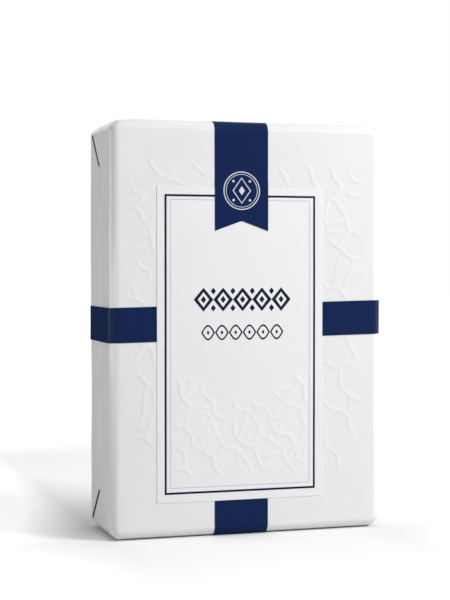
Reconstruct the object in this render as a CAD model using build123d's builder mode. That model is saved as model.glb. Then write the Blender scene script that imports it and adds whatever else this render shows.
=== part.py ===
from build123d import *
import os

# A shut block of white cheese in a folded paper wrapper, standing on its short side. A paper
# band runs round its middle and a paper ribbon over its top, and a label on the front covers
# both where they cross under it.
#
# Sizes are in millimetres. X runs across the front, Y from the front to the back and Z up. The
# origin is under the middle of the block, on the surface that the pack stands on.

# Wrapped block
block_width = 100.0
block_depth = 33.0
block_height = 144.0
edge_radius = 3.4

# Envelope folds of the wrapper on the two narrow sides
flap_overlap = 2.8  # the back flap laps this far over the front flap
overlap_rise = 0.06  # the doubled paper of the lap stands this far above the rest of the back flap
flap_step = 0.2  # the front flap lies this far below the lap
tuck_step = 0.6  # the triangular tucks at the top and the bottom lie this far below the lap
crease_width = 1.0  # open crease along the slanting edges of the back flap
crease_depth = 1.4
crease_corner_gap = 2.5  # each open crease stops this far short of the corner, along Y

# Papers laid round the block
paper_gap = 0.02  # clearance between a paper and what it lies on
band_thickness = 0.22
ribbon_thickness = 0.22
label_thickness = 0.48

# Label, set by its distances from the sides of the block
label_left_margin = 16.5
label_right_margin = 22.8
label_top_margin = 22.8
label_bottom_margin = 12.2
pocket_play = 0.3  # room beside a paper that is tucked behind the label

# Band round the middle
band_height = 12.1
band_rise = 2.6  # height of the band's middle above the block's middle
band_tilt = 1.15  # degrees, higher on the right
band_ramp = 1.5  # the band rises over the ribbon at the back along this length

# Ribbon over the top
ribbon_width = 19.5
ribbon_x = -2.95
ribbon_tuck = 9.0  # length tucked behind the label from below
ribbon_ramp = 2.0  # the ribbon rises onto the label along this length
tail_length = 15.1  # length of the tail on the label, to its two tips
tail_notch = 3.5  # depth of the notch in the tail

# Places worked out from the sizes above
block_bottom = ribbon_thickness + paper_gap
block_middle = block_bottom + block_height / 2
front_face = block_depth / 2  # distance of the front from the XZ plane
label_back = front_face + paper_gap
label_front = label_back + label_thickness
label_width = block_width - label_left_margin - label_right_margin
label_height = block_height - label_top_margin - label_bottom_margin
label_x = (label_left_margin - label_right_margin) / 2
label_bottom = block_bottom + label_bottom_margin
label_top = label_bottom + label_height
band_middle = block_middle + band_rise


def tilted_rise(x):
    """Height that the tilt of the band adds at a place along X."""
    return Vector(x, 0, 0).rotate(Axis.Y, -band_tilt).Z


# The block with its wrapper, one closed solid
with BuildPart() as wrapped_block:
    with Locations((0, 0, block_bottom)):
        Box(
            block_width,
            block_depth,
            block_height,
            align=(Align.CENTER, Align.CENTER, Align.MIN),
        )
    fillet(wrapped_block.edges(), edge_radius)

    apex = block_height / 2 - block_depth / 2  # the folds run at 45 degrees from each corner
    reach = edge_radius  # the cutting shapes run this far past the block
    crease_end = block_depth / 2 - crease_corner_gap
    for side in (-1, 1):
        narrow_side = Plane(
            origin=(side * block_width / 2, 0, block_middle), x_dir=(0, 1, 0), z_dir=(side, 0, 0)
        )
        # Back flap behind the lap
        with BuildSketch(narrow_side):
            with Locations((flap_overlap, 0)):
                Rectangle(block_depth, block_height + reach, align=(Align.MIN, Align.CENTER))
        extrude(amount=-overlap_rise, mode=Mode.SUBTRACT)
        # Front flap
        with BuildSketch(narrow_side):
            Rectangle(block_depth, block_height + reach, align=(Align.MAX, Align.CENTER))
        extrude(amount=-flap_step, mode=Mode.SUBTRACT)
        # Triangular tucks above and below the flaps
        with BuildSketch(narrow_side):
            for end in (-1, 1):
                with BuildLine():
                    Polyline(
                        (0, end * apex),
                        (block_depth / 2 + reach, end * (block_height / 2 + reach)),
                        (-block_depth / 2 - reach, end * (block_height / 2 + reach)),
                        close=True,
                    )
                make_face()
        extrude(amount=-tuck_step, mode=Mode.SUBTRACT)
        # Open creases along the slanting edges of the back flap
        with BuildSketch(narrow_side):
            for end in (-1, 1):
                with Locations((crease_end / 2, end * (apex + crease_end / 2))):
                    Rectangle(crease_end * 2**0.5, crease_width, rotation=end * 45)
        extrude(amount=-crease_depth, mode=Mode.SUBTRACT)

# The label, with pockets in its back for the band and for the ribbon's lower end
with BuildPart() as label:
    back_plane = Plane.XZ.offset(label_back)
    with BuildSketch(back_plane):
        with Locations((label_x, label_bottom)):
            Rectangle(label_width, label_height, align=(Align.CENTER, Align.MIN))
    extrude(amount=label_thickness)
    with BuildSketch(back_plane):
        with Locations((label_x, band_middle + tilted_rise(label_x))):
            Rectangle(
                label_width + 2 * band_height, band_height + 2 * pocket_play, rotation=band_tilt
            )
    extrude(amount=band_thickness + paper_gap, mode=Mode.SUBTRACT)
    with BuildSketch(back_plane):
        with Locations((ribbon_x, label_bottom + ribbon_tuck + pocket_play)):
            Rectangle(
                ribbon_width + 2 * pocket_play,
                2 * (ribbon_tuck + pocket_play),
                align=(Align.CENTER, Align.MAX),
            )
    extrude(amount=ribbon_thickness + paper_gap, mode=Mode.SUBTRACT)

# The band: a closed loop round the block that steps over the ribbon at the back
with BuildPart() as belly_band:
    band_back = block_depth / 2 + paper_gap  # inner face of the band behind the block
    over_ribbon = ribbon_thickness + paper_gap
    crossing = ribbon_width / 2 + pocket_play  # half the width of the raised stretch
    with BuildSketch():
        RectangleRounded(
            block_width + 2 * (paper_gap + band_thickness),
            block_depth + 2 * (paper_gap + band_thickness),
            edge_radius + paper_gap + band_thickness,
        )
        RectangleRounded(
            block_width + 2 * paper_gap,
            block_depth + 2 * paper_gap,
            edge_radius + paper_gap,
            mode=Mode.SUBTRACT,
        )
        with Locations((ribbon_x, band_back)):
            Rectangle(2 * (crossing + band_ramp), 4 * band_thickness, mode=Mode.SUBTRACT)
        inner_side = [
            (ribbon_x - crossing - band_ramp, band_back),
            (ribbon_x - crossing, band_back + over_ribbon),
            (ribbon_x + crossing, band_back + over_ribbon),
            (ribbon_x + crossing + band_ramp, band_back),
        ]
        outer_side = [(x, y + band_thickness) for x, y in reversed(inner_side)]
        with BuildLine():
            Polyline(*inner_side, *outer_side, close=True)
        make_face()
    extrude(amount=block_bottom + block_height)
    with Locations(Location((0, 0, band_middle), (0, -band_tilt, 0))):
        Box(2 * block_width, 2 * block_depth, band_height, mode=Mode.INTERSECT)

# The ribbon: up the front from under the label's lower edge it runs below the block, up the
# back, over the top and down the front onto the label, where its tail ends in a notch
with BuildPart() as ribbon:
    tail_end = label_top - tail_length
    ramp_top = label_top + paper_gap + ribbon_ramp
    ramp_foot = label_top + paper_gap
    on_block = -(front_face + paper_gap)  # inner face of the ribbon on the block
    on_label = -(label_front + paper_gap)  # inner face of the ribbon on the label
    with BuildSketch(Plane.YZ.offset(ribbon_x)):
        with Locations((0, block_middle)):
            RectangleRounded(
                block_depth + 2 * (paper_gap + ribbon_thickness),
                block_height + 2 * (paper_gap + ribbon_thickness),
                edge_radius + paper_gap + ribbon_thickness,
            )
            RectangleRounded(
                block_depth + 2 * paper_gap,
                block_height + 2 * paper_gap,
                edge_radius + paper_gap,
                mode=Mode.SUBTRACT,
            )
        # Open the loop on the front, from the tucked lower end to the ramp
        with Locations((on_block, label_bottom + ribbon_tuck)):
            Rectangle(
                4 * ribbon_thickness,
                ramp_top - label_bottom - ribbon_tuck,
                align=(Align.CENTER, Align.MIN),
                mode=Mode.SUBTRACT,
            )
        with BuildLine():
            Polyline(
                (on_block, ramp_top),
                (on_label, ramp_foot),
                (on_label, tail_end),
                (on_label - ribbon_thickness, tail_end),
                (on_label - ribbon_thickness, ramp_foot),
                (on_block - ribbon_thickness, ramp_top),
                close=True,
            )
        make_face()
    extrude(amount=ribbon_width / 2, both=True)
    # Notch in the end of the tail, cut through the tail alone
    notch_slope = tail_notch / (ribbon_width / 2)
    with BuildSketch(Plane.XZ.offset(front_face)):
        with BuildLine():
            Polyline(
                (ribbon_x, tail_end + tail_notch),
                (ribbon_x - ribbon_width, tail_end + tail_notch - ribbon_width * notch_slope),
                (ribbon_x + ribbon_width, tail_end + tail_notch - ribbon_width * notch_slope),
                close=True,
            )
        make_face()
    extrude(amount=2 * (label_thickness + ribbon_thickness), mode=Mode.SUBTRACT)

os.makedirs("parts", exist_ok=True)
wrapped_block.part.label = "wrapped_block"
export_step(wrapped_block.part, "parts/wrapped_block.step")
label.part.label = "label"
export_step(label.part, "parts/label.step")
belly_band.part.label = "belly_band"
export_step(belly_band.part, "parts/belly_band.step")
ribbon.part.label = "ribbon"
export_step(ribbon.part, "parts/ribbon.step")
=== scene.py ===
"""A shut block of white cheese in a folded white wrapper, with a label, a navy band and a navy
ribbon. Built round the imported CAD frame: places are worked out from its boxes and the sizes
below.

Shapes are worked out in millimetres in the CAD frame and turned into metres at the end.
"""

import math

import bmesh
import bpy
import numpy as np
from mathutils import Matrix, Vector


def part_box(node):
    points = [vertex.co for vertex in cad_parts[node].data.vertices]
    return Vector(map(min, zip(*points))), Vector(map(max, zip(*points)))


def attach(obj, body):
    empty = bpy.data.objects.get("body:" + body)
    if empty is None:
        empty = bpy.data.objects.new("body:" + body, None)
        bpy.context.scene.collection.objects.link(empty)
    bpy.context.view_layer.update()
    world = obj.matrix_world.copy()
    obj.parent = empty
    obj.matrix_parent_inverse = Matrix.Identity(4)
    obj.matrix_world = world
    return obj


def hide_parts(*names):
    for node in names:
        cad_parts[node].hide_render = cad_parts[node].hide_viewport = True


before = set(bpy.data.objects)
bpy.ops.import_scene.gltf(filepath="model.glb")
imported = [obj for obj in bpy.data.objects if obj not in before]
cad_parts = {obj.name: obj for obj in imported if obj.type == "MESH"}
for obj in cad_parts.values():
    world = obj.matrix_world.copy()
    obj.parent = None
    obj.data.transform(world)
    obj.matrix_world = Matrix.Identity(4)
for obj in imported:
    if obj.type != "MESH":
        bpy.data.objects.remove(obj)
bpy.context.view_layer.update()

MM = 0.001


def corners(node):
    """A CAD node's lowest and highest corners, in millimetres."""
    low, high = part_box(node)
    return np.array(low) / MM, np.array(high) / MM


BLOCK_LOW, BLOCK_HIGH = corners("wrapped_block")
LABEL_LOW, LABEL_HIGH = corners("label")
BAND_LOW, BAND_HIGH = corners("belly_band")
RIBBON_LOW, RIBBON_HIGH = corners("ribbon")

# ---------------------------------------------------------------- sizes, in millimetres

EDGE_RADIUS = 3.4
HALF_DEPTH = (BLOCK_HIGH[1] - BLOCK_LOW[1]) / 2
HALF_HEIGHT = (BLOCK_HIGH[2] - BLOCK_LOW[2]) / 2
MIDDLE_Z = (BLOCK_HIGH[2] + BLOCK_LOW[2]) / 2

# The soft pack's departures from the true block
UNEVENNESS = ((0.09, 34, 3), (0.03, 15, 4))  # height, wavelength and seed of each set of waves
TOP_DOME = 0.4  # rise of the top's middle
CORNER_SQUEEZE = 1.25  # the upper corners are pressed in this far
END_SQUEEZE = 0.45  # and the two ends of the top this far
FOOT_PINCH = 1.1  # the lower edges of the narrow sides are pressed in this far

# Papers
PAPER_GAP = 0.02
STRIP_THICKNESS = 0.14  # the band and the ribbon
STRIP_LAYERS = [0.0, STRIP_THICKNESS * 0.5, STRIP_THICKNESS]
BAND_HEIGHT = 12.1
BAND_TILT = math.radians(1.15)
BAND_MIDDLE = (BAND_LOW[2] + BAND_HIGH[2]) / 2
BAND_RAMP = 1.8  # beside the ribbon at the back, where the band rises over it
RIBBON_X = (RIBBON_LOW[0] + RIBBON_HIGH[0]) / 2
RIBBON_WIDTH = RIBBON_HIGH[0] - RIBBON_LOW[0]
RIBBON_TUCK = 9.0
RIBBON_RAMP = 2.0
TAIL_LENGTH = 15.1
TAIL_NOTCH = 3.5
LABEL_THICKNESS = 0.16  # enough to cover the band and the ribbon under it
LABEL_LIFT = PAPER_GAP + LABEL_THICKNESS  # the label's front, above the block's front
LABEL_EDGE_RADIUS = 0.055

# Prints, by their heights above the block's foot
ROW_X = -2.6  # middle of the ornaments on the label
BIG_ROW_Z = BLOCK_LOW[2] + 82.25
SMALL_ROW_Z = BLOCK_LOW[2] + 70.8
EMBLEM_Z = BLOCK_LOW[2] + 120.1
INK_RISE = 0.03
INK_SINK = 0.005  # the ink's underside lies this far inside the paper

# Meshes
CELL = 1.9  # coarse mesh cell
FINE = 4  # fine cells along each side of a coarse one
ROUND_STEPS = 6  # cells in each half of a rounded edge
DEPTH_CELLS = 7  # coarse cells across half the depth, so that the slanting folds cross them evenly
TOUCH = 1e-6  # points nearer to a face than this lie on it
SHARP_ANGLE = math.radians(35)

# Folds on the narrow sides
FLAP_OVERLAP = 2.8
LAP_DROP = 0.16
FLAP_DROP = 0.25
SEAM_DEPTH = 0.9
TUCK_DROP = 0.34
TUCK_RISE = 0.2  # a tuck rises this much towards the end of the block
CREASE_WIDTH = 0.7
LOW_CREASE_WIDTH = 0.95
CREASE_DEPTH = 1.5
CREASE_END = 11.5
SHADE_TOP = 0.1  # depth of the top of the painted-shade sheet at the flap, below the flap
SHADE_REACH = 2.2  # the dark sheet of painted shade runs this far past the end of its crease

# Relief pressed into the wrapper and the label
RELIEF_HEIGHT = 0.2
PRESS_REACH = 0.6  # the relief dies out this far before a paper that lies on it
RELIEF_X = 44.0
RELIEF_LOW_Z = 17.5
RELIEF_HIGH_Z = 131.3
EMBOSS_LOW_Z = 16.0  # strands are drawn between these heights for the label
EMBOSS_HIGH_Z = 64.0
WRAPPER_SPACING = 9.4
LABEL_SPACING = 7.0
STRAND_WIDTH = 0.43
STRAND_BLUR = 0.18
STRAND_STEP = 0.25
STRAND_SLOPE = 1.11  # the long strands fall this much for each millimetre to the right
RASTER = 0.2
FRONT_SEED = 7
BACK_SEED = 23
LABEL_SEED = 5
ANY_PHASE = 6.3  # about a full turn, in radians


# ---------------------------------------------------------------- small helpers


def smoothstep(low, high, value):
    """0 up to low and 1 from high on, with a smooth rise between; low may be above high."""
    t = np.clip((value - low) / (high - low), 0, 1)
    return t * t * (3 - 2 * t)


def waves(points, wavelength, seed, count=7):
    """Soft unevenness from -1 to 1: a few plane waves in random directions."""
    rng = np.random.default_rng(seed)
    total = np.zeros(len(points))
    for _ in range(count):
        direction = rng.normal(size=points.shape[1])
        direction /= np.linalg.norm(direction)
        turn = 2 * math.pi / (wavelength * rng.uniform(0.75, 1.35))
        total += np.sin(points @ direction * turn + rng.uniform(0, 2 * math.pi))
    return total / math.sqrt(count) / 1.4


def blurred(field, sigma):
    """A field smoothed along both axes, with sigma in raster steps."""
    reach = int(3 * sigma) + 1
    kernel = np.exp(-0.5 * (np.arange(-reach, reach + 1) / sigma) ** 2)
    kernel /= kernel.sum()
    for axis in (0, 1):
        field = np.apply_along_axis(lambda row: np.convolve(row, kernel, "same"), axis, field)
    return field


# ---------------------------------------------------------------- relief


def traced(start, headings):
    """Points along a strand that leaves start and follows its headings, one to each step."""
    steps = np.stack([np.cos(headings), np.sin(headings)], axis=1) * STRAND_STEP
    return np.array(start) + np.cumsum(steps, axis=0)


def winding_strand(start, length, wave, rng):
    """A long strand that falls to the right in uneven waves."""
    along = np.arange(0, length, STRAND_STEP)
    turn = np.zeros(len(along))
    # The degrees that each of three waves turns the strand, and its share of the wavelength
    for most, share in ((rng.uniform(24, 36), 1), (17, 0.43), (5, 0.17)):
        angle = 2 * math.pi * along / (share * wave) + rng.uniform(0, ANY_PHASE)
        turn += math.radians(most) * np.sin(angle)
    headings = math.radians(-48) + turn
    return traced(start, headings), headings


def link_strand(foot, heading, spacing, others, rng):
    """A curved strand that runs until it meets another, or else ends freely."""
    along = np.arange(0, 1.9 * spacing, STRAND_STEP)
    others = others[np.abs(others - foot).max(axis=1) < 2 * spacing]
    if not len(others):
        return np.empty((0, 2))
    waver = 0.14 * np.sin(along / (0.2 * spacing) + rng.uniform(0, ANY_PHASE))
    points = traced(foot, heading + rng.uniform(-0.9, 0.9) * along / spacing + waver)
    gap = np.linalg.norm(points[:, None] - others[None], axis=2).min(axis=1)
    met = np.flatnonzero((gap < 2 * STRAND_STEP) & (along > 0.35 * spacing))
    if len(met):
        return points[: met[0] + 1]
    return points[: int(rng.uniform(0.25, 0.45) * len(points))]


def strand_network(low, high, spacing, seed):
    """Branching strands over a rectangle: winding ones that fall to the right, in pieces, and
    links that leave them to both sides."""
    rng = np.random.default_rng(seed)
    low, high = np.array(low, float), np.array(high, float)
    middle, reach = (low + high) / 2, np.linalg.norm(high - low) / 2
    down_right = np.array([1, -STRAND_SLOPE]) / math.hypot(1, STRAND_SLOPE)
    up_right = np.array([STRAND_SLOPE, 1]) / math.hypot(1, STRAND_SLOPE)
    rows = []
    for offset in np.arange(-reach, reach, spacing):
        start = middle + up_right * (offset + rng.uniform(-0.15, 0.15) * spacing) - down_right * reach
        rows.append(winding_strand(start, 2 * reach, spacing * rng.uniform(1.9, 3.0), rng))
    strands = []
    for points, _ in rows:
        first = 0
        while first < len(points):
            last = first + int(spacing * rng.uniform(1.4, 3.4) / STRAND_STEP)
            strands.append((points[first:last], rng.uniform(0.8, 1)))
            first = last + int(spacing * max(0, rng.uniform(-0.5, 0.45)) / STRAND_STEP)
    for number, (points, headings) in enumerate(rows):
        others = np.concatenate([p for n, (p, _) in enumerate(rows) if n != number])
        foot = rng.integers(0, int(spacing / STRAND_STEP))
        while foot < len(points):
            side = 1 if rng.random() < 0.5 else -1
            heading = headings[foot] + side * math.radians(rng.uniform(55, 105))
            link = link_strand(points[foot], heading, spacing, others, rng)
            strands.append((link, rng.uniform(0.5, 0.9)))
            foot += int(spacing * rng.uniform(0.5, 1.25) / STRAND_STEP)
    return [(points, strength) for points, strength in strands if len(points) > 4]


def relief_field(low, high, spacing, seed):
    """Heights from 0 to 1 of a network of raised strands, as a function of x and z."""
    x = np.arange(low[0] - 2, high[0] + 2, RASTER)
    z = np.arange(low[1] - 2, high[1] + 2, RASTER)
    height = np.zeros((len(x), len(z)))
    window = int(3 * STRAND_WIDTH / RASTER)
    for points, strength in strand_network(low, high, spacing, seed):
        along = np.arange(len(points)) * STRAND_STEP
        taper = smoothstep(0, 1.0, along + 0.6) * smoothstep(0, 3.5, along[-1] - along + 0.4)
        for (px, pz), level in zip(points, strength * taper):
            i, j = int((px - x[0]) / RASTER), int((pz - z[0]) / RASTER)
            if not (window < i < len(x) - window and window < j < len(z) - window):
                continue
            near = np.ix_(range(i - window, i + window + 1), range(j - window, j + window + 1))
            squared = (x[near[0]] - px) ** 2 + (z[near[1]] - pz) ** 2
            height[near] = np.maximum(height[near], level * np.exp(-squared / STRAND_WIDTH**2))
    height = blurred(height, STRAND_BLUR / RASTER)

    def at(px, pz):
        fx = np.clip((px - x[0]) / RASTER, 0, len(x) - 1.001)
        fz = np.clip((pz - z[0]) / RASTER, 0, len(z) - 1.001)
        i, j = fx.astype(int), fz.astype(int)
        s, t = fx - i, fz - j
        low_row = height[i, j] * (1 - s) + height[i + 1, j] * s
        high_row = height[i, j + 1] * (1 - s) + height[i + 1, j + 1] * s
        return low_row * (1 - t) + high_row * t

    return at


def relief_zone(x, z):
    """1 inside the part of the wrapper that carries relief, falling to 0 at its uneven border."""
    wander = 2.0 * waves(np.stack([x, z], axis=1), 14, 71)
    side = smoothstep(0, 3.5, RELIEF_X + wander - np.abs(x))
    ends = smoothstep(0, 4, z + wander - RELIEF_LOW_Z) * smoothstep(0, 4, RELIEF_HIGH_Z - wander - z)
    return side * ends


WRAPPER_LOW, WRAPPER_HIGH = (-RELIEF_X, RELIEF_LOW_Z), (RELIEF_X, RELIEF_HIGH_Z)
EMBOSS_LOW, EMBOSS_HIGH = (LABEL_LOW[0], EMBOSS_LOW_Z), (LABEL_HIGH[0], EMBOSS_HIGH_Z)
FRONT_STRANDS = relief_field(WRAPPER_LOW, WRAPPER_HIGH, WRAPPER_SPACING, FRONT_SEED)
BACK_STRANDS = relief_field(WRAPPER_LOW, WRAPPER_HIGH, WRAPPER_SPACING, BACK_SEED)
LABEL_STRANDS = relief_field(EMBOSS_LOW, EMBOSS_HIGH, LABEL_SPACING, LABEL_SEED)


# ---------------------------------------------------------------- mesh building


def spread(start, stop, cell):
    """Even lines from start to stop, about a cell apart."""
    return list(np.linspace(start, stop, max(1, round((stop - start) / cell)) + 1))


def edge_lines(radius):
    """Distances from a sharp edge at which the lines of its rounding lie."""
    angles = np.linspace(math.pi / 4, 0, ROUND_STEPS + 1)
    return [radius * (1 - math.tan(a)) for a in angles]


def rounded_lines(low, high, radius, cell, inner=()):
    """Lines across a face whose two edges are rounded; inner lists distances from each edge."""
    near = edge_lines(radius) + [d for d in inner if d > radius + 1e-6]
    middle = spread(low + near[-1], high - near[-1], cell)
    return [low + d for d in near] + middle[1:-1] + [high - d for d in reversed(near)]


def between(a, b, t):
    """The place a share t of the way from a to b."""
    return tuple(a[k] + (b[k] - a[k]) * t for k in range(3))


def box_cells(lines, open_axis):
    """The rectangles between the lines on a box's sides, each with its axis, its end and whether
    its corners run forward as seen from outside."""
    cells = []
    for axis in range(3):
        if axis == open_axis:
            continue
        first, second = [a for a in range(3) if a != axis]
        for end in (0, -1):
            # Turning the corners the other way round on one end keeps every face outward
            forward = (end == -1) == (axis != 1)
            for i in range(len(lines[first]) - 1):
                for j in range(len(lines[second]) - 1):
                    square = []
                    for a, b in ((i, j), (i + 1, j), (i + 1, j + 1), (i, j + 1)):
                        p = [0.0, 0.0, 0.0]
                        p[axis] = lines[axis][end]
                        p[first] = lines[first][a]
                        p[second] = lines[second][b]
                        square.append(tuple(p))
                    cells.append((axis, end, forward, square))
    return cells


def fine_faces(square, forward, cut, vertex):
    """The small squares of a divided cell, each cut in two from its lowest corner if cut is set."""
    grid, faces = {}, []
    for a in range(FINE + 1):
        left = between(square[0], square[1], a / FINE)
        right = between(square[3], square[2], a / FINE)
        for b in range(FINE + 1):
            grid[a, b] = vertex(between(left, right, b / FINE))
    for a in range(FINE):
        for b in range(FINE):
            quad = [grid[a, b], grid[a + 1, b], grid[a + 1, b + 1], grid[a, b + 1]]
            if not forward:
                quad = quad[::-1]
            if not cut:
                faces.append(quad)
                continue
            start = quad.index(grid[a, b])
            turned = quad[start:] + quad[:start]
            faces.append(turned[:3])
            faces.append([turned[0], turned[2], turned[3]])
    return faces


def box_shell(lines, fine=None, cut_axis=None, open_axis=None):
    """A closed shell over a box, ruled by lines along each axis. A cell for which fine() is true
    is divided further, and its neighbours take the extra points on their shared sides, so the
    shell stays closed. Returns points and faces. cut_axis has the small squares on that axis's
    two ends cut in two, and open_axis leaves out that axis's two ends."""
    points, faces, index = [], [], {}

    def vertex(p):
        key = tuple(round(c * 1e5) for c in p)
        if key not in index:
            index[key] = len(points)
            points.append(p)
        return index[key]

    cells = box_cells(lines, open_axis)
    split = set()
    wanted = []
    for axis, end, forward, square in cells:
        centre = tuple(sum(p[k] for p in square) / 4 for k in range(3))
        divide = bool(fine and fine(axis, end, centre))
        wanted.append(divide)
        if divide:
            for a in range(4):
                split.add(frozenset((vertex(square[a]), vertex(square[(a + 1) % 4]))))
    for (axis, end, forward, square), divide in zip(cells, wanted):
        if divide:
            faces += fine_faces(square, forward, axis == cut_axis, vertex)
            continue
        loop = []
        for a in range(4):
            p, q = square[a], square[(a + 1) % 4]
            loop.append(vertex(p))
            if frozenset((vertex(p), vertex(q))) in split:
                loop += [vertex(between(p, q, s / FINE)) for s in range(1, FINE)]
        faces.append(loop if forward else loop[::-1])
    return np.array(points), faces


def make_piece(name, points, faces, material, node=None, weld=False):
    """An object from points in millimetres, told to the frame; node is the CAD node it replaces."""
    mesh = bpy.data.meshes.new(name)
    mesh.from_pydata((points * MM).tolist(), [], faces)
    if weld:
        work = bmesh.new()
        work.from_mesh(mesh)
        bmesh.ops.remove_doubles(work, verts=work.verts, dist=1e-7)
        work.to_mesh(mesh)
        work.free()
    mesh.validate()
    mesh.polygons.foreach_set("use_smooth", [True] * len(mesh.polygons))
    mesh.set_sharp_from_angle(angle=SHARP_ANGLE)
    mesh.materials.append(material)
    piece = bpy.data.objects.new(name, mesh)
    bpy.context.collection.objects.link(piece)
    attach(piece, "root")
    if node:
        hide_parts(node)
    return piece


# ---------------------------------------------------------------- the block's surface


def on_block(sharp):
    """The place on the rounded block of points on its sharp box, and the outward directions."""
    core = np.clip(sharp, BLOCK_LOW + EDGE_RADIUS, BLOCK_HIGH - EDGE_RADIUS)
    out = sharp - core
    normal = out / np.linalg.norm(out, axis=1, keepdims=True)
    return core + EDGE_RADIUS * normal, normal


def swell(place, normal):
    """How far the soft pack stands out from the true block, the same for all that lies on it."""
    uneven = sum(height * waves(place, wavelength, seed) for height, wavelength, seed in UNEVENNESS)
    across = (place[:, 0] - BLOCK_LOW[0]) / (BLOCK_HIGH[0] - BLOCK_LOW[0])
    deep = (place[:, 1] - BLOCK_LOW[1]) / (BLOCK_HIGH[1] - BLOCK_LOW[1])
    dome = TOP_DOME * (1 - (2 * deep - 1) ** 2) * np.clip(1 - (2 * across - 1) ** 4, 0, 1)
    top = smoothstep(0.2, 1, normal[:, 2])
    bottom = smoothstep(0.1, 0.7, -normal[:, 2])
    # The upper corners are squeezed rounder than the edges between them
    squeeze = CORNER_SQUEEZE * np.abs(normal[:, 0]) * np.clip(normal[:, 2], 0, 1)
    squeeze += END_SQUEEZE * top * smoothstep(0.38, 0.5, np.abs(across - 0.5))
    pinch = FOOT_PINCH * np.abs(normal[:, 0]) * np.clip(-normal[:, 2], 0, 1)
    return (uneven + dome * top - squeeze) * (1 - bottom) - pinch


def laid(sharp, lift):
    """Points that lie a lift above the pack's surface."""
    place, normal = on_block(sharp)
    return place + normal * (swell(place, normal) + lift)[:, None]


# ---------------------------------------------------------------- wrapper


def fold_places(y, z):
    """Distance from the nearer end of the block, and past the slanting fold into a tuck."""
    from_end = HALF_HEIGHT - np.abs(z - MIDDLE_Z)
    return from_end, (HALF_DEPTH - from_end - np.abs(y)) / math.sqrt(2)


def fold_height(y, z):
    """The folded end of the wrapper: two flaps that meet in a lap, over two triangular tucks."""
    from_end, slant = fold_places(y, z)
    back_flap = -LAP_DROP * smoothstep(FLAP_OVERLAP - 0.1, FLAP_OVERLAP + 0.5, y)
    back_flap = back_flap - 0.3 * np.exp(-(((y - FLAP_OVERLAP - 0.4) / 0.4) ** 2))
    seam = SEAM_DEPTH * smoothstep(0.9, 0.3, np.abs(y + 0.4))
    flap = np.where(y > -0.05, back_flap, -FLAP_DROP - seam)
    tuck = -TUCK_DROP + TUCK_RISE * smoothstep(1, 10, slant)
    height = np.where(slant > 0.1, tuck, flap)
    along = smoothstep(0.2, 1.6, y) * smoothstep(CREASE_END + 1.5, CREASE_END, y)
    width = np.where(z < MIDDLE_Z, LOW_CREASE_WIDTH, CREASE_WIDTH)
    gap = (slant > 0.1) & (slant < width)
    height = height - np.where(gap, CREASE_DEPTH * along, 0)
    from_side = HALF_DEPTH - np.abs(y)
    return height * smoothstep(0.9, 3.2, np.minimum(from_side, from_end))


def paper_cover(x, z, front):
    """How far a place on the front or the back lies inside the papers over it; negative outside."""
    band = BAND_HEIGHT / 2 - np.abs(z - BAND_MIDDLE - x * math.tan(BAND_TILT))
    cover = np.maximum(band, RIBBON_WIDTH / 2 - np.abs(x - RIBBON_X))
    if front:
        across = np.minimum(x - LABEL_LOW[0], LABEL_HIGH[0] - x)
        upright = np.minimum(z - LABEL_LOW[2], LABEL_HIGH[2] - z)
        cover = np.maximum(cover, np.minimum(across, upright))
    return cover


def wrapper_fine(axis, end, centre):
    """True for cells that carry relief on the front and back, or a fold on the narrow sides."""
    x, y, z = centre
    if axis == 1:
        near = abs(x) < RELIEF_X + 2 and RELIEF_LOW_Z - 3 < z < RELIEF_HIGH_Z + 3
        return near and paper_cover(x, z, end == 0) < CELL
    if axis == 0:
        from_end, slant = fold_places(y, z)
        in_band = abs(z - BAND_MIDDLE) < BAND_HEIGHT / 2 - 2 * CELL
        seam = -1.2 * CELL < y < FLAP_OVERLAP + CELL and from_end > HALF_DEPTH - CELL
        return (abs(slant) < 1.2 * CELL and from_end > 0.3) or (seam and not in_band)
    return False


def make_wrapper(material):
    """The wrapped block, with its relief and its folded ends."""
    cell = (HALF_DEPTH - EDGE_RADIUS) / DEPTH_CELLS
    y_inner = [EDGE_RADIUS + cell * k for k in range(1, DEPTH_CELLS + 1)]
    lines = [
        rounded_lines(BLOCK_LOW[0], BLOCK_HIGH[0], EDGE_RADIUS, 2.0),
        rounded_lines(BLOCK_LOW[1], BLOCK_HIGH[1], EDGE_RADIUS, cell),
        rounded_lines(BLOCK_LOW[2], BLOCK_HIGH[2], EDGE_RADIUS, CELL, inner=y_inner),
    ]
    # The cut follows the upper back and the lower front fold, and crosses the other two
    sharp, faces = box_shell(lines, wrapper_fine, cut_axis=0)
    x, y, z = sharp.T
    relief = np.zeros(len(sharp))
    front, back = y < BLOCK_LOW[1] + TOUCH, y > BLOCK_HIGH[1] - TOUCH
    narrow = np.abs(x) > BLOCK_HIGH[0] - TOUCH
    for side, strands, on_front in ((front, FRONT_STRANDS, True), (back, BACK_STRANDS, False)):
        bare = smoothstep(0.1, -PRESS_REACH, paper_cover(x[side], z[side], on_front))
        zone = relief_zone(x[side], z[side]) * bare
        relief[side] = RELIEF_HEIGHT * strands(x[side], z[side]) * zone
    relief[narrow] = fold_height(y[narrow], z[narrow])
    points = laid(sharp, relief)
    return make_piece("wrapper", points, faces, material, "wrapped_block")


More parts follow.
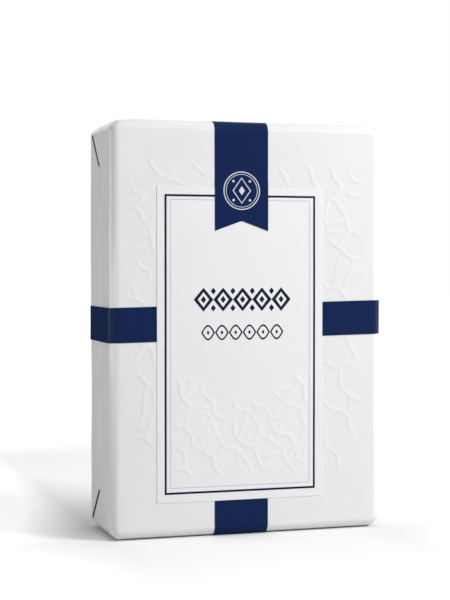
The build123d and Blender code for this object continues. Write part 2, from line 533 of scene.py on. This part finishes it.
def make_crease_painted_shade(material):
    """Stands for the folded-in paper at the bottom of each open crease, which hardly any light
    reaches: a dark grey sheet whose darkness is painted shade.
    """
    points, faces = [], []
    along = spread(0.1, CREASE_END + SHADE_REACH, 0.7)
    for x in (BLOCK_LOW[0], BLOCK_HIGH[0]):
        for end, width in ((-1, LOW_CREASE_WIDTH), (1, CREASE_WIDTH)):
            across = spread(0.15, width - 0.05, 0.2)
            shell, sides = box_shell([across, along, [0.0, 1.0]])
            slant, y, upper = shell.T
            from_end = HALF_DEPTH - y - slant * math.sqrt(2)
            z = MIDDLE_Z + end * (HALF_HEIGHT - from_end)
            fade = smoothstep(0.1, 1.2, y)
            fade = fade * smoothstep(CREASE_END + SHADE_REACH, CREASE_END + 0.6, y)
            low = -TUCK_DROP - TUCK_RISE - CREASE_DEPTH * 0.6
            high = -SHADE_TOP - (TUCK_DROP + 0.1 - SHADE_TOP) * slant / width
            high = low + 0.05 + (high - low - 0.05) * fade
            sharp = np.stack([np.full(len(y), x), y, z], axis=1)
            turned = (end > 0) == (x > 0)
            start = len(points)
            points += laid(sharp, np.where(upper > 0.5, high, low)).tolist()
            faces += [[start + k for k in (side if turned else side[::-1])] for side in sides]
    return make_piece("crease_painted_shade", np.array(points), faces, material)


# ---------------------------------------------------------------- label


def emboss_zone(x, z):
    """1 in the lower part of the label that carries relief, under a wavy upper border."""
    low, high = LABEL_LOW, LABEL_HIGH
    across = (x - (low[0] + high[0]) / 2) / ((high[0] - low[0]) / 2)
    wander = 1.6 * waves(np.stack([x, z], axis=1), 9, 31)
    top = BLOCK_LOW[2] + 49.5 + 16 * np.abs(across) ** 1.6 + wander
    side = smoothstep(5.2, 6.6, np.minimum(x - low[0], high[0] - x))
    return side * smoothstep(0, 3.0, top - z) * smoothstep(20.0, 22.5, z)


def make_label(material):
    """The label: a thin sheet with rounded edges, which follows the soft front."""
    radius = LABEL_EDGE_RADIUS
    sheet_low = np.array([LABEL_LOW[0], BLOCK_LOW[1] - LABEL_LIFT, LABEL_LOW[2]])
    sheet_high = np.array([LABEL_HIGH[0], BLOCK_LOW[1] - PAPER_GAP, LABEL_HIGH[2]])
    lines = []
    for k in range(3):
        cell = 2.0 if k != 1 else 1.0
        low, high = sheet_low[k], sheet_high[k]
        start, stop = low + 1.05 * radius, high - 1.05 * radius
        if k != 1:
            start, stop = start + 0.1, stop - 0.1
        near, far = [low, low + radius], [high - radius, high]
        lines.append(near + spread(start, stop, cell) + far)
    middle = (LABEL_LOW[0] + LABEL_HIGH[0]) / 2

    def fine(axis, end, centre):
        x, _, z = centre
        inside = abs(x - middle) < (LABEL_HIGH[0] - LABEL_LOW[0]) / 2 - 4.5
        return axis == 1 and end == 0 and inside and 19 < z < 68

    points, faces = box_shell(lines, fine)
    inner_low, inner_high = sheet_low + radius, sheet_high - radius
    core = np.clip(points, inner_low, inner_high)
    out = points - core
    length = np.linalg.norm(out, axis=1, keepdims=True)
    points = core + out * radius / np.maximum(length, radius)
    front = points[:, 1] < sheet_low[1] + TOUCH
    x, z = points[front, 0], points[front, 2]
    points[front, 1] -= RELIEF_HEIGHT * LABEL_STRANDS(x, z) * emboss_zone(x, z)
    return make_piece("label_sheet", follow_front(points), faces, material, "label")


def follow_front(points):
    """Moves points that lie on the flat front with the soft unevenness of the pack under them."""
    base = np.stack([points[:, 0], np.full(len(points), BLOCK_LOW[1]), points[:, 2]], axis=1)
    place, normal = on_block(base)
    moved = points.copy()
    moved[:, 1] -= swell(place, normal)
    return moved


# ---------------------------------------------------------------- band and ribbon


def path_lines(corner_points, cell):
    """Places along a path of straight runs over the sharp box, closer together at its rounded
    corners: their distances along it, and their points."""
    stops, points, along = [], [], 0.0
    last = len(corner_points) - 1
    for n, (a, b) in enumerate(zip(corner_points, corner_points[1:])):
        a, b = np.array(a, float), np.array(b, float)
        length = np.linalg.norm(b - a)
        near = edge_lines(EDGE_RADIUS)
        start = near if n > 0 else [0.0]
        stop = near if n < last - 1 else [0.0]
        run = start + spread(start[-1], length - stop[-1], cell)[1:-1]
        run += [length - d for d in reversed(stop)]
        for d in run if n == 0 else run[1:]:
            stops.append(along + d)
            points.append(a + (b - a) * d / length)
        along += length
    return np.array(stops), np.array(points)


def label_rise(z):
    """Height that the ribbon gains where it runs down from the block onto the label."""
    return LABEL_LIFT * smoothstep(LABEL_HIGH[2] + RIBBON_RAMP, LABEL_HIGH[2], z)


def make_ribbon(material):
    """Over the label with its notched tail, over the top, down the back, under, and up again."""
    front, back = BLOCK_LOW[1], BLOCK_HIGH[1]
    low, high = BLOCK_LOW[2], BLOCK_HIGH[2]
    tail_end = LABEL_HIGH[2] - TAIL_LENGTH
    tuck_end = LABEL_LOW[2] + RIBBON_TUCK
    corner_points = [(front, tail_end), (front, high), (back, high)]
    corner_points += [(back, low), (front, low), (front, tuck_end)]
    stops, path = path_lines(corner_points, 1.0)
    half = RIBBON_WIDTH / 2
    across = [-half] + spread(-half + 0.1, half - 0.1, 0.9) + [half]
    points, faces = box_shell([across, list(stops), STRIP_LAYERS])
    u, s, w = points.T
    y, z = np.interp(s, stops, path[:, 0]), np.interp(s, stops, path[:, 1])
    notch = TAIL_NOTCH * (1 - np.abs(u) / half)
    z = z + notch * np.clip(1 - s / (2.2 * TAIL_NOTCH), 0, 1)
    on_label = s < TAIL_LENGTH + RIBBON_RAMP + 1
    lift = PAPER_GAP + w + np.where(on_label, label_rise(z), 0)
    sharp = np.stack([RIBBON_X + u, y, z], axis=1)
    return make_piece("ribbon_strip", laid(sharp, lift), faces, material, "ribbon")


def make_band(material):
    """Round the block in a closed loop, over the ribbon at the back."""
    (left, front, _), (right, back, _) = BLOCK_LOW, BLOCK_HIGH
    corner_points = [(0, front), (right, front), (right, back)]
    corner_points += [(left, back), (left, front), (0, front)]
    stops, path = path_lines(corner_points, 1.0)
    half = BAND_HEIGHT / 2
    up = [-half] + spread(-half + 0.1, half - 0.1, 1.2) + [half]
    points, faces = box_shell([up, list(stops), STRIP_LAYERS], open_axis=1)
    v, s, w = points.T
    x, y = np.interp(s, stops, path[:, 0]), np.interp(s, stops, path[:, 1])
    z = BAND_MIDDLE + v + x * math.tan(BAND_TILT)
    reach = RIBBON_WIDTH / 2
    crossing = smoothstep(reach + BAND_RAMP, reach + 0.2, np.abs(x - RIBBON_X)) * (y > 0)
    lift = PAPER_GAP + w + crossing * (STRIP_THICKNESS + PAPER_GAP)
    sharp = np.stack([x, y, z], axis=1)
    points = laid(sharp, lift)
    return make_piece("band_strip", points, faces, material, "belly_band", weld=True)


# ---------------------------------------------------------------- prints


def label_front(z):
    """Height of the label's front above the block's front."""
    return np.full(len(z), LABEL_LIFT)


def ribbon_front(z):
    """Height of the ribbon's face above the block's front."""
    return label_rise(z) + PAPER_GAP + STRIP_THICKNESS


def print_shape(name, outlines, material, carrier, thickness=INK_RISE):
    """Flat ink on a carrier, as thin closed solids. An outline is one ring of (x, z) points, or
    a pair of matching rings with bare paper inside the second."""
    points, faces = [], []
    for rings in outlines:
        count, start = len(rings[0]), len(points)
        for ring in rings:
            z = np.array(ring)[:, 1]
            for depth in (-INK_SINK, thickness):
                height = carrier(z) + depth
                points += [(px, BLOCK_LOW[1] - h, pz) for (px, pz), h in zip(ring, height)]

        def at(ring, layer, k):
            return start + (2 * ring + layer) * count + k % count

        if len(rings) == 1:
            faces.append([at(0, 1, k) for k in range(count)])
            faces.append([at(0, 0, k) for k in reversed(range(count))])
        for k in range(count):
            faces.append([at(0, 0, k), at(0, 0, k + 1), at(0, 1, k + 1), at(0, 1, k)])
            if len(rings) == 2:
                faces.append([at(0, 1, k), at(0, 1, k + 1), at(1, 1, k + 1), at(1, 1, k)])
                faces.append([at(1, 0, k), at(1, 0, k + 1), at(0, 0, k + 1), at(0, 0, k)])
                faces.append([at(1, 1, k), at(1, 1, k + 1), at(1, 0, k + 1), at(1, 0, k)])
    return make_piece(name, follow_front(np.array(points, float)), faces, material)


def line_round(ring, centre, width):
    """A matching pair of rings: a closed line of about the given width inside a ring."""
    size = (np.array(ring).max(axis=0) - np.array(ring).min(axis=0)) / 2
    shrink = 1 - width / size
    inner = [tuple(np.array(centre) + (np.array(p) - centre) * shrink) for p in ring]
    return ring, inner


def lozenge(centre, half_width, half_height, steps=6):
    """An upright lozenge, anticlockwise as seen from the front."""
    (x, z), ring = centre, []
    tips = [(x + half_width, z), (x, z + half_height), (x - half_width, z), (x, z - half_height)]
    for a, b in zip(tips, tips[1:] + tips[:1]):
        for k in range(steps):
            ring.append((a[0] + (b[0] - a[0]) * k / steps, a[1] + (b[1] - a[1]) * k / steps))
    return ring


def pointed_oval(centre, half_width, half_height, steps=24):
    """An oval that ends in points at its left and right."""
    (x, z), ring = centre, []
    for k in range(steps):
        t = 2 * math.pi * k / steps
        across = 1 - 2 * min(t, 2 * math.pi - t) / math.pi
        ring.append((x + half_width * across, z + half_height * math.sin(t)))
    return ring


def circle(centre, radius, steps=48):
    """A ring of points round a circle."""
    turns = [2 * math.pi * k / steps for k in range(steps)]
    return [(centre[0] + radius * math.cos(t), centre[1] + radius * math.sin(t)) for t in turns]


def rectangle(left, right, bottom, top, cell=2.0):
    """A ring of points round a rectangle, anticlockwise as seen from the front."""
    xs, zs = spread(left, right, cell), spread(bottom, top, cell)
    ring = [(x, bottom) for x in xs[:-1]] + [(right, z) for z in zs[:-1]]
    ring += [(x, top) for x in reversed(xs[1:])] + [(left, z) for z in reversed(zs[1:])]
    return ring


def frame_line(margins, width):
    """A line of a given width round the label, by its distances from the label's edges."""
    left_gap, right_gap, bottom_gap, top_gap = margins
    left, right = LABEL_LOW[0] + left_gap, LABEL_HIGH[0] - right_gap
    bottom, top = LABEL_LOW[2] + bottom_gap, LABEL_HIGH[2] - top_gap
    ring = rectangle(left, right, bottom, top)
    centre = (np.array(ring).max(axis=0) + np.array(ring).min(axis=0)) / 2
    return line_round(ring, centre, width)


def make_frame_prints():
    """The frame of the label: a bold line, a pale field inside it and a thin line."""
    # Distances from the label's left, right, lower and upper edges
    outer = np.array([2.70, 2.78, 2.85, 2.63])
    inner = np.array([4.7, 4.75, 4.9, 4.3])
    bold, field, thin = frame_line(outer, 0.72), frame_line(outer + 0.9, 1.0), frame_line(inner, 0.25)
    print_shape("frame_line", [bold], INK, label_front)
    print_shape("frame_field", [field], PALE_INK, label_front, 0.012)
    print_shape("inner_line", [thin], GREY_INK, label_front)


def make_lozenge_row(count=5, half=3.56, half_height=4.15):
    """A bold border of touching lozenges, with small ones above and below where they meet."""
    row = []
    for k in range(count):
        centre = (ROW_X + (2 * k + 1 - count) * half, BIG_ROW_Z)
        row.append(line_round(lozenge(centre, half, half_height), centre, 1.5))
        row.append((lozenge(centre, 0.95, 1.25),))
        if k < count - 1:
            for end in (-1, 1):
                small = (centre[0] + half, BIG_ROW_Z + end * (half_height - 1.2))
                row.append((lozenge(small, 0.95, 1.2),))
    print_shape("lozenge_row", row, INK, label_front)


def make_oval_chain(count=6, width=30.2):
    """A light chain of pointed ovals."""
    half = width / count / 2
    chain = []
    for k in range(count):
        centre = (ROW_X + (2 * k + 1) * half - width / 2, SMALL_ROW_Z)
        chain.append(line_round(pointed_oval(centre, half, 2.7), centre, 0.62))
        chain.append((lozenge(centre, 0.5, 0.8),))
    print_shape("oval_chain", chain, INK, label_front)


def make_emblem():
    """A thin double ring round two lozenges, with four dots."""
    centre = (RIBBON_X, EMBLEM_Z)
    emblem = [line_round(circle(centre, 6.7), centre, 0.36)]
    emblem.append(line_round(circle(centre, 5.8), centre, 0.2))
    emblem.append(line_round(lozenge(centre, 3.4, 4.6), centre, 0.45))
    emblem.append((lozenge(centre, 1.1, 1.6),))
    for side in (-1, 1):
        for end in (-1, 1):
            emblem.append((circle((centre[0] + side * 3.0, centre[1] + end * 3.3), 0.45, 12),))
    print_shape("ribbon_emblem", emblem, WHITE_INK, ribbon_front)


# ---------------------------------------------------------------- materials


def srgb(*levels):
    """Linear colour from sRGB levels of 0 to 255."""
    out = []
    for level in levels:
        c = level / 255
        out.append(c / 12.92 if c <= 0.04045 else ((c + 0.055) / 1.055) ** 2.4)
    return (*out, 1.0)


def math_node(nodes, links, operation, first, second):
    """The output of a math node whose inputs are sockets or plain numbers."""
    node = nodes.new("ShaderNodeMath")
    node.operation = operation
    for socket, value in zip(node.inputs, (first, second)):
        if isinstance(value, (int, float)):
            socket.default_value = value
        else:
            links.new(value, socket)
    return node.outputs["Value"]


def noise_node(nodes, links, place, scale, detail, roughness=0.5):
    """The output, 0 to 1, of a noise texture."""
    node = nodes.new("ShaderNodeTexNoise")
    node.inputs["Scale"].default_value = scale
    node.inputs["Detail"].default_value = detail
    node.inputs["Roughness"].default_value = roughness
    links.new(place, node.inputs["Vector"])
    return node.outputs["Fac"]


def bend_factor(nodes, links, place):
    """0 on the pack's flat sides, 1 where the paper is pulled round an edge."""
    turned = nodes.new("ShaderNodeVectorMath")
    turned.operation = "ABSOLUTE"
    links.new(place.outputs["Normal"], turned.inputs[0])
    parts = nodes.new("ShaderNodeSeparateXYZ")
    links.new(turned.outputs["Vector"], parts.inputs["Vector"])
    largest = math_node(nodes, links, "MAXIMUM", parts.outputs["X"], parts.outputs["Y"])
    largest = math_node(nodes, links, "MAXIMUM", largest, parts.outputs["Z"])
    ramp = nodes.new("ShaderNodeMapRange")
    ramp.interpolation_type = "SMOOTHSTEP"
    ramp.inputs["From Min"].default_value = 0.995
    ramp.inputs["From Max"].default_value = 0.94
    links.new(largest, ramp.inputs["Value"])
    return ramp.outputs["Result"]


def paper_material(name, colour, specular, flat_roughness, edge_roughness, mottle, fibre_bump):
    """Paper: cloudy in colour, fine fibres in relief, and rubbed smoother where it is bent."""
    material = bpy.data.materials.new(name)
    material.use_nodes = True
    nodes, links = material.node_tree.nodes, material.node_tree.links
    shader = nodes["Principled BSDF"]
    shader.inputs["Specular IOR Level"].default_value = specular
    place = nodes.new("ShaderNodeTexCoord")
    point = place.outputs["Object"]

    tint = nodes.new("ShaderNodeMix")
    tint.data_type = "RGBA"
    tint.inputs["A"].default_value = tuple(c * (1 - mottle) for c in colour[:3]) + (1,)
    tint.inputs["B"].default_value = tuple(min(c * (1 + mottle), 1) for c in colour[:3]) + (1,)
    links.new(noise_node(nodes, links, point, 60, 6, 0.65), tint.inputs["Factor"])
    links.new(tint.outputs["Result"], shader.inputs["Base Color"])

    rough = nodes.new("ShaderNodeMapRange")
    rough.inputs["To Min"].default_value = flat_roughness
    rough.inputs["To Max"].default_value = edge_roughness
    links.new(bend_factor(nodes, links, place), rough.inputs["Value"])
    grain = math_node(nodes, links, "MULTIPLY", noise_node(nodes, links, point, 400, 3), 0.06)
    roughness = math_node(nodes, links, "ADD", rough.outputs["Result"], grain)
    links.new(roughness, shader.inputs["Roughness"])

    raised = nodes.new("ShaderNodeBump")
    raised.inputs["Strength"].default_value = fibre_bump
    raised.inputs["Distance"].default_value = 0.00004
    links.new(noise_node(nodes, links, point, 2600, 3), raised.inputs["Height"])
    links.new(raised.outputs["Normal"], shader.inputs["Normal"])
    return material


WRAPPER = paper_material("wrapper_paper_white", srgb(241, 241, 241), 0.5, 0.9, 0.18, 0.006, 0.25)
# Dark grey of painted shade, for the sheet at the bottom of each open crease
CREASE_PAINTED_SHADE = paper_material("crease_painted_shade_grey", srgb(52, 52, 52), 0.1, 0.9, 0.9, 0.05, 0.1)
LABEL = paper_material("label_paper_white", srgb(244, 244, 245), 0.4, 0.74, 0.5, 0.004, 0.2)
NAVY = paper_material("navy_paper_satin", srgb(25, 42, 84), 0.03, 0.95, 0.2, 0.05, 0.25)
INK = paper_material("navy_ink", srgb(29, 32, 55), 0.1, 0.85, 0.6, 0.04, 0.1)
GREY_INK = paper_material("grey_ink", srgb(206, 207, 212), 0.2, 0.8, 0.6, 0.01, 0.1)
PALE_INK = paper_material("pale_ink", srgb(243, 246, 252), 0.2, 0.8, 0.6, 0.004, 0.1)
WHITE_INK = paper_material("white_ink", srgb(216, 221, 232), 0.2, 0.8, 0.6, 0.02, 0.1)

make_wrapper(WRAPPER)
make_crease_painted_shade(CREASE_PAINTED_SHADE)
make_label(LABEL)
make_band(NAVY)
make_ribbon(NAVY)
make_frame_prints()
make_lozenge_row()
make_oval_chain()
make_emblem()

# ---------------------------------------------------------------- stage, camera, light

AMBIENT = 0.3
KEY = 4.95
OVERHEAD = 0.2
RIM = 0.42
GLOSS = 1.14
FLOOR_WHITE = 0.78
FLOOR_REACH = 310.0  # millimetres over which the floor passes into plain white
# White added to the floor, for rays that see it plainly: painted light, held back beside, behind and
# under the pack, so that it also paints how far the pack's shadow reaches
FRONT_FILL = 0.185
FRONT_DEEP_GAIN = 0.0019
FRONT_TILT = -0.0005
FRONT_GAIN = 0.006
SHADE_FILL = 0.08
SHADE_GAIN = 0.02
SHADE_BACK = 10.0
SHADE_BACK_GAIN = 0.005
SHADE_BACK_MOST = 0.33
SHADE_MOST = 0.64
SHADE_FROM_Y, SHADE_FULL_Y = -12, 6  # between these the front's white passes into the shade's
FRONT_START = 20.0  # in front of this the front's white grows
FOOT_INSET = 2.0  # the darkness under the pack, where no painted white is added, starts this far inside its outline
FOOT_GAIN = 0.33  # and fades by this much for each millimetre outward
WHITE_START = 90.0  # distance from the middle at which the passing into plain white starts
FLOOR_SIZE = 3.0  # metres from the middle to each side

LENS = 88.3
CAMERA_PLACE = (-0.16323, -0.50424, 0.09509)
CAMERA_DOWN = 1.43  # degrees below level
CAMERA_TURN = -17.55  # degrees about Z


def background_rays(nodes, links):
    """1 for rays that see the background plainly: from the camera, a gloss or a clear pane."""
    rays = nodes.new("ShaderNodeLightPath")
    total = rays.outputs["Is Camera Ray"]
    for kind in ("Is Glossy Ray", "Is Transmission Ray"):
        either = nodes.new("ShaderNodeMath")
        either.operation = "MAXIMUM"
        links.new(total, either.inputs[0])
        links.new(rays.outputs[kind], either.inputs[1])
        total = either.outputs["Value"]
    return total


def floor_fill(nodes, links, place):
    """How much painted white light to add to the floor at a place in millimetres: 0 under the pack's
    edge, and
    1, which is plain white, far away. Held back beside and behind the pack, it paints the shadow's
    reach there."""
    parts = nodes.new("ShaderNodeSeparateXYZ")
    links.new(place, parts.inputs["Vector"])

    def worked(operation, first, second):
        return math_node(nodes, links, operation, first, second)

    def beyond(value, limit):
        return worked("MAXIMUM", worked("SUBTRACT", value, limit), 0.0)

    across, deep = worked("ABSOLUTE", parts.outputs["X"], 0.0), parts.outputs["Y"]
    aside = beyond(across, BLOCK_HIGH[0])
    # Beside and behind the pack, where the shadow falls: less painted white, which sets how far the
    # shadow reaches
    behind = worked("MULTIPLY", beyond(deep, SHADE_BACK), SHADE_BACK_GAIN)
    shade = worked("ADD", worked("MULTIPLY", aside, SHADE_GAIN), SHADE_FILL)
    shade = worked("ADD", shade, worked("MINIMUM", behind, SHADE_BACK_MOST))
    shade = worked("MINIMUM", shade, SHADE_MOST)
    # In front of the pack
    open_fill = worked("ADD", worked("MULTIPLY", aside, FRONT_GAIN), FRONT_FILL)
    open_fill = worked("ADD", open_fill, worked("MULTIPLY", parts.outputs["X"], FRONT_TILT))
    ahead = beyond(worked("MULTIPLY", deep, -1.0), FRONT_START)
    open_fill = worked("ADD", open_fill, worked("MULTIPLY", ahead, FRONT_DEEP_GAIN))
    side_on = nodes.new("ShaderNodeMapRange")
    side_on.interpolation_type = "SMOOTHSTEP"
    side_on.inputs["From Min"].default_value = SHADE_FROM_Y
    side_on.inputs["From Max"].default_value = SHADE_FULL_Y
    links.new(deep, side_on.inputs["Value"])
    step = worked("MULTIPLY", worked("SUBTRACT", shade, open_fill), side_on.outputs["Result"])
    fill = worked("ADD", open_fill, step)
    # Right under the edge of the pack, no painted white, so the contact shade stays dark
    back = beyond(worked("ABSOLUTE", deep, 0.0), HALF_DEPTH - FOOT_INSET)
    edge = beyond(across, BLOCK_HIGH[0] - FOOT_INSET)
    squares = worked("ADD", worked("MULTIPLY", edge, edge), worked("MULTIPLY", back, back))
    out_of_foot = worked("MULTIPLY", worked("SQRT", squares, 0.0), FOOT_GAIN)
    fill = worked("MULTIPLY", fill, worked("MINIMUM", out_of_foot, 1.0))
    # Far away everything passes into white
    far = nodes.new("ShaderNodeVectorMath")
    far.operation = "LENGTH"
    links.new(place, far.inputs[0])
    distance = worked("DIVIDE", beyond(far.outputs["Value"], WHITE_START), FLOOR_REACH)
    return worked("MAXIMUM", fill, worked("MINIMUM", distance, 1.0))


def make_floor():
    """A white floor that takes the pack's shadow, with painted white light added in a shape that also
    paints how far the shadow reaches, and passes into plain white further out.
    """
    mesh = bpy.data.meshes.new("floor")
    size = FLOOR_SIZE
    square = [(-size, -size, 0), (size, -size, 0), (size, size, 0), (-size, size, 0)]
    mesh.from_pydata(square, [], [(0, 1, 2, 3)])
    floor = bpy.data.objects.new("floor", mesh)
    bpy.context.collection.objects.link(floor)
    material = bpy.data.materials.new("floor_white")
    material.use_nodes = True
    nodes, links = material.node_tree.nodes, material.node_tree.links
    nodes.remove(nodes["Principled BSDF"])
    matt = nodes.new("ShaderNodeBsdfDiffuse")
    matt.inputs["Color"].default_value = (FLOOR_WHITE, FLOOR_WHITE, FLOOR_WHITE, 1)
    white = nodes.new("ShaderNodeEmission")
    place = nodes.new("ShaderNodeTexCoord")
    scale = nodes.new("ShaderNodeVectorMath")
    scale.operation = "SCALE"
    scale.inputs["Scale"].default_value = 1 / MM
    links.new(place.outputs["Object"], scale.inputs[0])
    fill = floor_fill(nodes, links, scale.outputs["Vector"])
    seen = math_node(nodes, links, "MULTIPLY", fill, background_rays(nodes, links))
    links.new(seen, white.inputs["Strength"])
    add = nodes.new("ShaderNodeAddShader")
    links.new(matt.outputs["BSDF"], add.inputs[0])
    links.new(white.outputs["Emission"], add.inputs[1])
    links.new(add.outputs["Shader"], nodes["Material Output"].inputs["Surface"])
    mesh.materials.append(material)


def make_world():
    """Even soft light; rays that see the background plainly find it white."""
    world = bpy.data.worlds.new("studio")
    bpy.context.scene.world = world
    world.use_nodes = True
    nodes, links = world.node_tree.nodes, world.node_tree.links
    light = nodes["Background"]
    light.inputs["Color"].default_value = (1, 1, 1, 1)
    light.inputs["Strength"].default_value = AMBIENT
    white = nodes.new("ShaderNodeBackground")
    white.inputs["Color"].default_value = (1, 1, 1, 1)
    mix = nodes.new("ShaderNodeMixShader")
    links.new(background_rays(nodes, links), mix.inputs["Fac"])
    links.new(light.outputs["Background"], mix.inputs[1])
    links.new(white.outputs["Background"], mix.inputs[2])
    links.new(mix.outputs["Shader"], nodes["World Output"].inputs["Surface"])


def make_lamp(name, place, aim, width, height, watts):
    """A rectangular lamp, with its places and sizes in metres, turned towards aim."""
    lamp = bpy.data.lights.new(name, "AREA")
    lamp.shape = "RECTANGLE"
    lamp.size, lamp.size_y = width, height
    lamp.energy = watts
    holder = bpy.data.objects.new(name, lamp)
    bpy.context.collection.objects.link(holder)
    holder.location = place
    direction = np.array(aim, float) - np.array(place, float)
    holder.rotation_euler = Vector(direction).to_track_quat("-Z", "Y").to_euler()
    return holder


def make_camera():
    """The view of the front and the left narrow side, from between the pack's middle and top."""
    data = bpy.data.cameras.new("camera")
    data.lens = LENS
    data.sensor_width = 36
    data.clip_start = 0.01
    camera = bpy.data.objects.new("camera", data)
    bpy.context.collection.objects.link(camera)
    camera.location = CAMERA_PLACE
    camera.rotation_euler = (math.radians(90 - CAMERA_DOWN), 0, math.radians(CAMERA_TURN))
    bpy.context.scene.camera = camera


make_floor()
make_world()
make_lamp("key", (0.495, -0.41, 0.505), (0.02, 0, 0.08), 0.25, 0.32, KEY)
make_lamp("overhead", (0.10, 0.10, 0.80), (0, 0, 0.1), 0.50, 0.50, OVERHEAD)
make_lamp("rim", (-0.60, 0.133, 0.12), (0, 0, 0.12), 0.13, 0.26, RIM)
# A card that shows only as a line of gloss along the left front edge
gloss = make_lamp("gloss_card", (-1.0, 0.42, 0.095), (0, 0, 0.08), 0.30, 0.19, GLOSS)
gloss.visible_diffuse = False
make_camera()
bpy.context.scene.view_settings.view_transform = "Standard"
